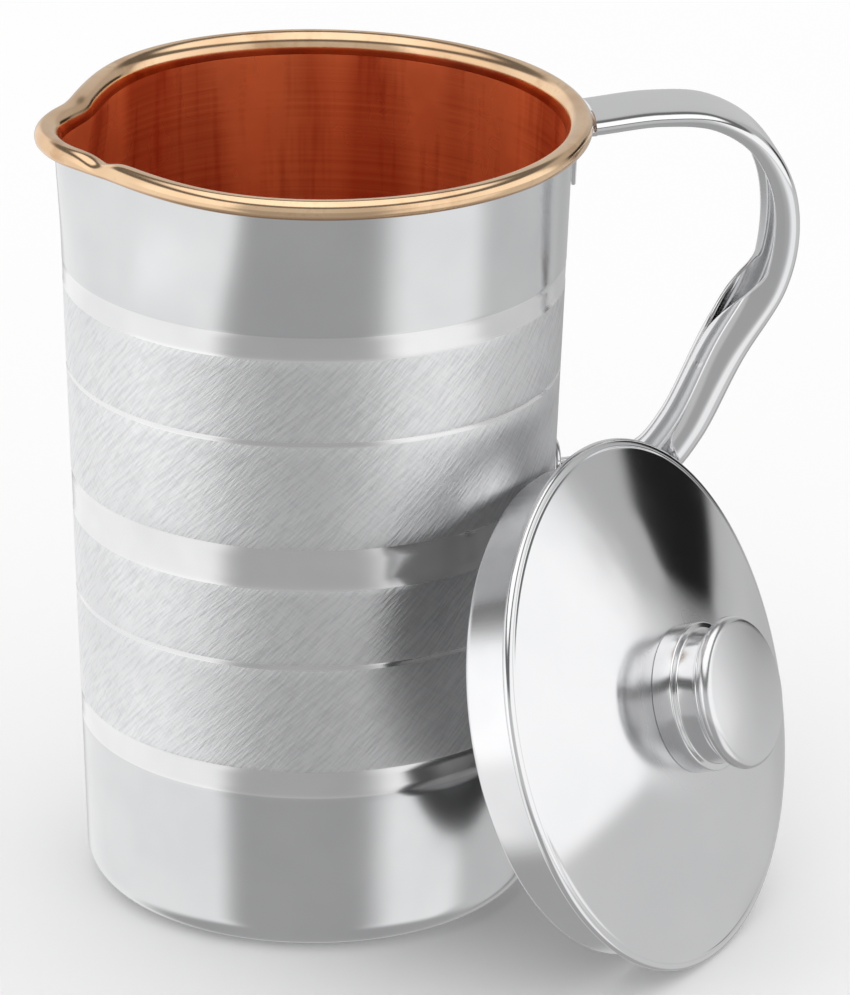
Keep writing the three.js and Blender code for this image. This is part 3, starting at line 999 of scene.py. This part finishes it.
def knob_screw():
    head_top = washer_top() - WASHER_THICKNESS - FIT_GAP
    low = head_top - SCREW_HEAD_HEIGHT
    shank_top = DRUM_TOP_Z + CAP_HOLE_DEPTH
    profile = [
        (0.0, low + 1.6),
        (1.1, low + 1.6),
        (1.3, low + 0.1),
        *round_corners([
            (1.4, low), (SCREW_HEAD_RADIUS - SCREW_HEAD_BEVEL, low),
            (SCREW_HEAD_RADIUS, low + SCREW_HEAD_BEVEL), (SCREW_HEAD_RADIUS, head_top),
            (SCREW_RADIUS, head_top), (SCREW_RADIUS, shank_top),
        ], 0.3, 4),
        (0.0, shank_top),
    ]
    return turned_piece(
        "knob_screw", profile, 64, [screw_steel], closed=False, lean=True
    )


for build in (
    outer_shell, copper_lining, handle, upper_tab, lower_pad,
    lid_dome, lid_collar, knob_drum, knob_cap, knob_washer, knob_screw,
):
    build()


# ---------------------------------------------------------------- studio


def studio_world():
    """White all round for the eye and the floor, and a set of soft boxes and dark flags
    for reflections. Azimuth is from +X towards +Y and elevation from level, in degrees."""
    world = bpy.data.worlds.new("studio")
    bpy.context.scene.world = world
    tree = Tree(world)
    place = tree.add("TexCoord").outputs["Generated"]
    parts = tree.add("SeparateXYZ", {0: place}).outputs
    degrees = 180 / math.pi
    azimuth = tree.math("MULTIPLY", tree.math("ARCTAN2", parts[1], parts[0]), degrees)
    elevation = tree.math("MULTIPLY", tree.math("ARCSINE", parts[2]), degrees)
    # azimuth, elevation, half width, half height, softness across and up, brightness
    cards = (
        (158, 0, 60, 90, 8, 5, 1.0),
        (-104, -52, 35, 43, 9, 5, 0.42),
        (-38, -52, 24, 43, 9, 5, 1.02),
        (8, -52, 22, 43, 12, 5, 0.66),
        (39, -38, 5, 13, 4, 3, 0.28),
        (60, -52, 14, 43, 6, 5, 0.52),
        (-100, 13, 34, 19, 11, 5, 0.6),
        (-26, 13, 40, 19, 11, 1.4, 1.15),
        (37, 12, 21, 20, 5, 4, 0.5),
        (36, 3, 10.5, 7.5, 1.2, 1.2, 0.01),
        (-163, 11, 24, 22, 5, 5, 1.25),
        (0, 41, 200, 9, 5, 4, 0.16),
        (0, 81, 200, 30, 15, 5, 1.3),
        (0, -74, 200, 26, 5, 8, 0.42),
    )
    ragged = tree.math("SUBTRACT", tree.noise(place, 24.0, 3.0, 0.6), 0.5)
    azimuth = tree.math("ADD", azimuth, tree.math("MULTIPLY", ragged, 7.0))
    # What reflects between the cards.
    light = 0.62
    for card_azimuth, card_elevation, width, height, soft_across, soft_up, value in cards:
        away = tree.math("SUBTRACT", azimuth, float(card_azimuth))
        away = tree.math("ABSOLUTE", tree.math("WRAP", away, 180.0, -180.0))
        up = tree.math("ABSOLUTE", tree.math("SUBTRACT", elevation, float(card_elevation)))
        mask = tree.math(
            "MULTIPLY",
            tree.remap(away, width + soft_across, width - soft_across, smooth=True),
            tree.remap(up, height + soft_up, height - soft_up, smooth=True),
        )
        light = tree.math(
            "ADD",
            tree.math("MULTIPLY", light, tree.math("SUBTRACT", 1.0, mask)),
            tree.math("MULTIPLY", mask, float(value)),
        )
    glossy = tree.add("LightPath").outputs["Is Glossy Ray"]
    share = tree.math(
        "ADD",
        tree.math("MULTIPLY", light, glossy),
        tree.math("SUBTRACT", 1.0, glossy),
    )
    back = tree.add("Background", {"Color": (1, 1, 1, 1), "Strength": share})
    tree.add("OutputWorld", {"Surface": back.outputs[0]})


FLOOR_RADIUS = 4
FLOOR_DROP = 0.0003


def floor():
    """A pale floor, which the metal doesn't reflect."""
    bpy.ops.mesh.primitive_circle_add(
        vertices=96, radius=FLOOR_RADIUS, fill_type="NGON", location=(0, 0, -FLOOR_DROP)
    )
    made = bpy.context.object
    made.name = "floor"
    material = bpy.data.materials.new("pale_floor")
    tree = Tree(material)
    place = tree.add("TexCoord").outputs["Object"]
    shade = tree.remap(tree.noise(place, 3.0, 2.0), 0.3, 0.7, 0.985, 0.995)
    shader = tree.add("BsdfDiffuse", {"Color": shade})
    tree.add("OutputMaterial", {"Surface": shader.outputs[0]})
    made.data.materials.append(material)
    made.visible_glossy = False
    made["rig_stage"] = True


CAMERA_PLACE = Vector((-0.2202, -1.4731, 0.6822))
CAMERA_AIM = Vector((0.1532, 0.9167, -0.3691))
CAMERA_ROLL = 0.0109
CAMERA_LENS = 253.27


def camera():
    data = bpy.data.cameras.new("camera")
    data.sensor_width = 36
    data.lens = CAMERA_LENS
    made = bpy.data.objects.new("camera", data)
    bpy.context.scene.collection.objects.link(made)
    aim = CAMERA_AIM.to_track_quat("-Z", "Y").to_matrix().to_4x4()
    roll = Matrix.Rotation(CAMERA_ROLL, 4, "Z")
    made.matrix_world = Matrix.Translation(CAMERA_PLACE) @ aim @ roll
    bpy.context.scene.camera = made


studio_world()
floor()
camera()
bpy.context.scene.view_settings.view_transform = "Standard"

[[list(corner_point) for corner_point in box] for box in (cad_box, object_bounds())]
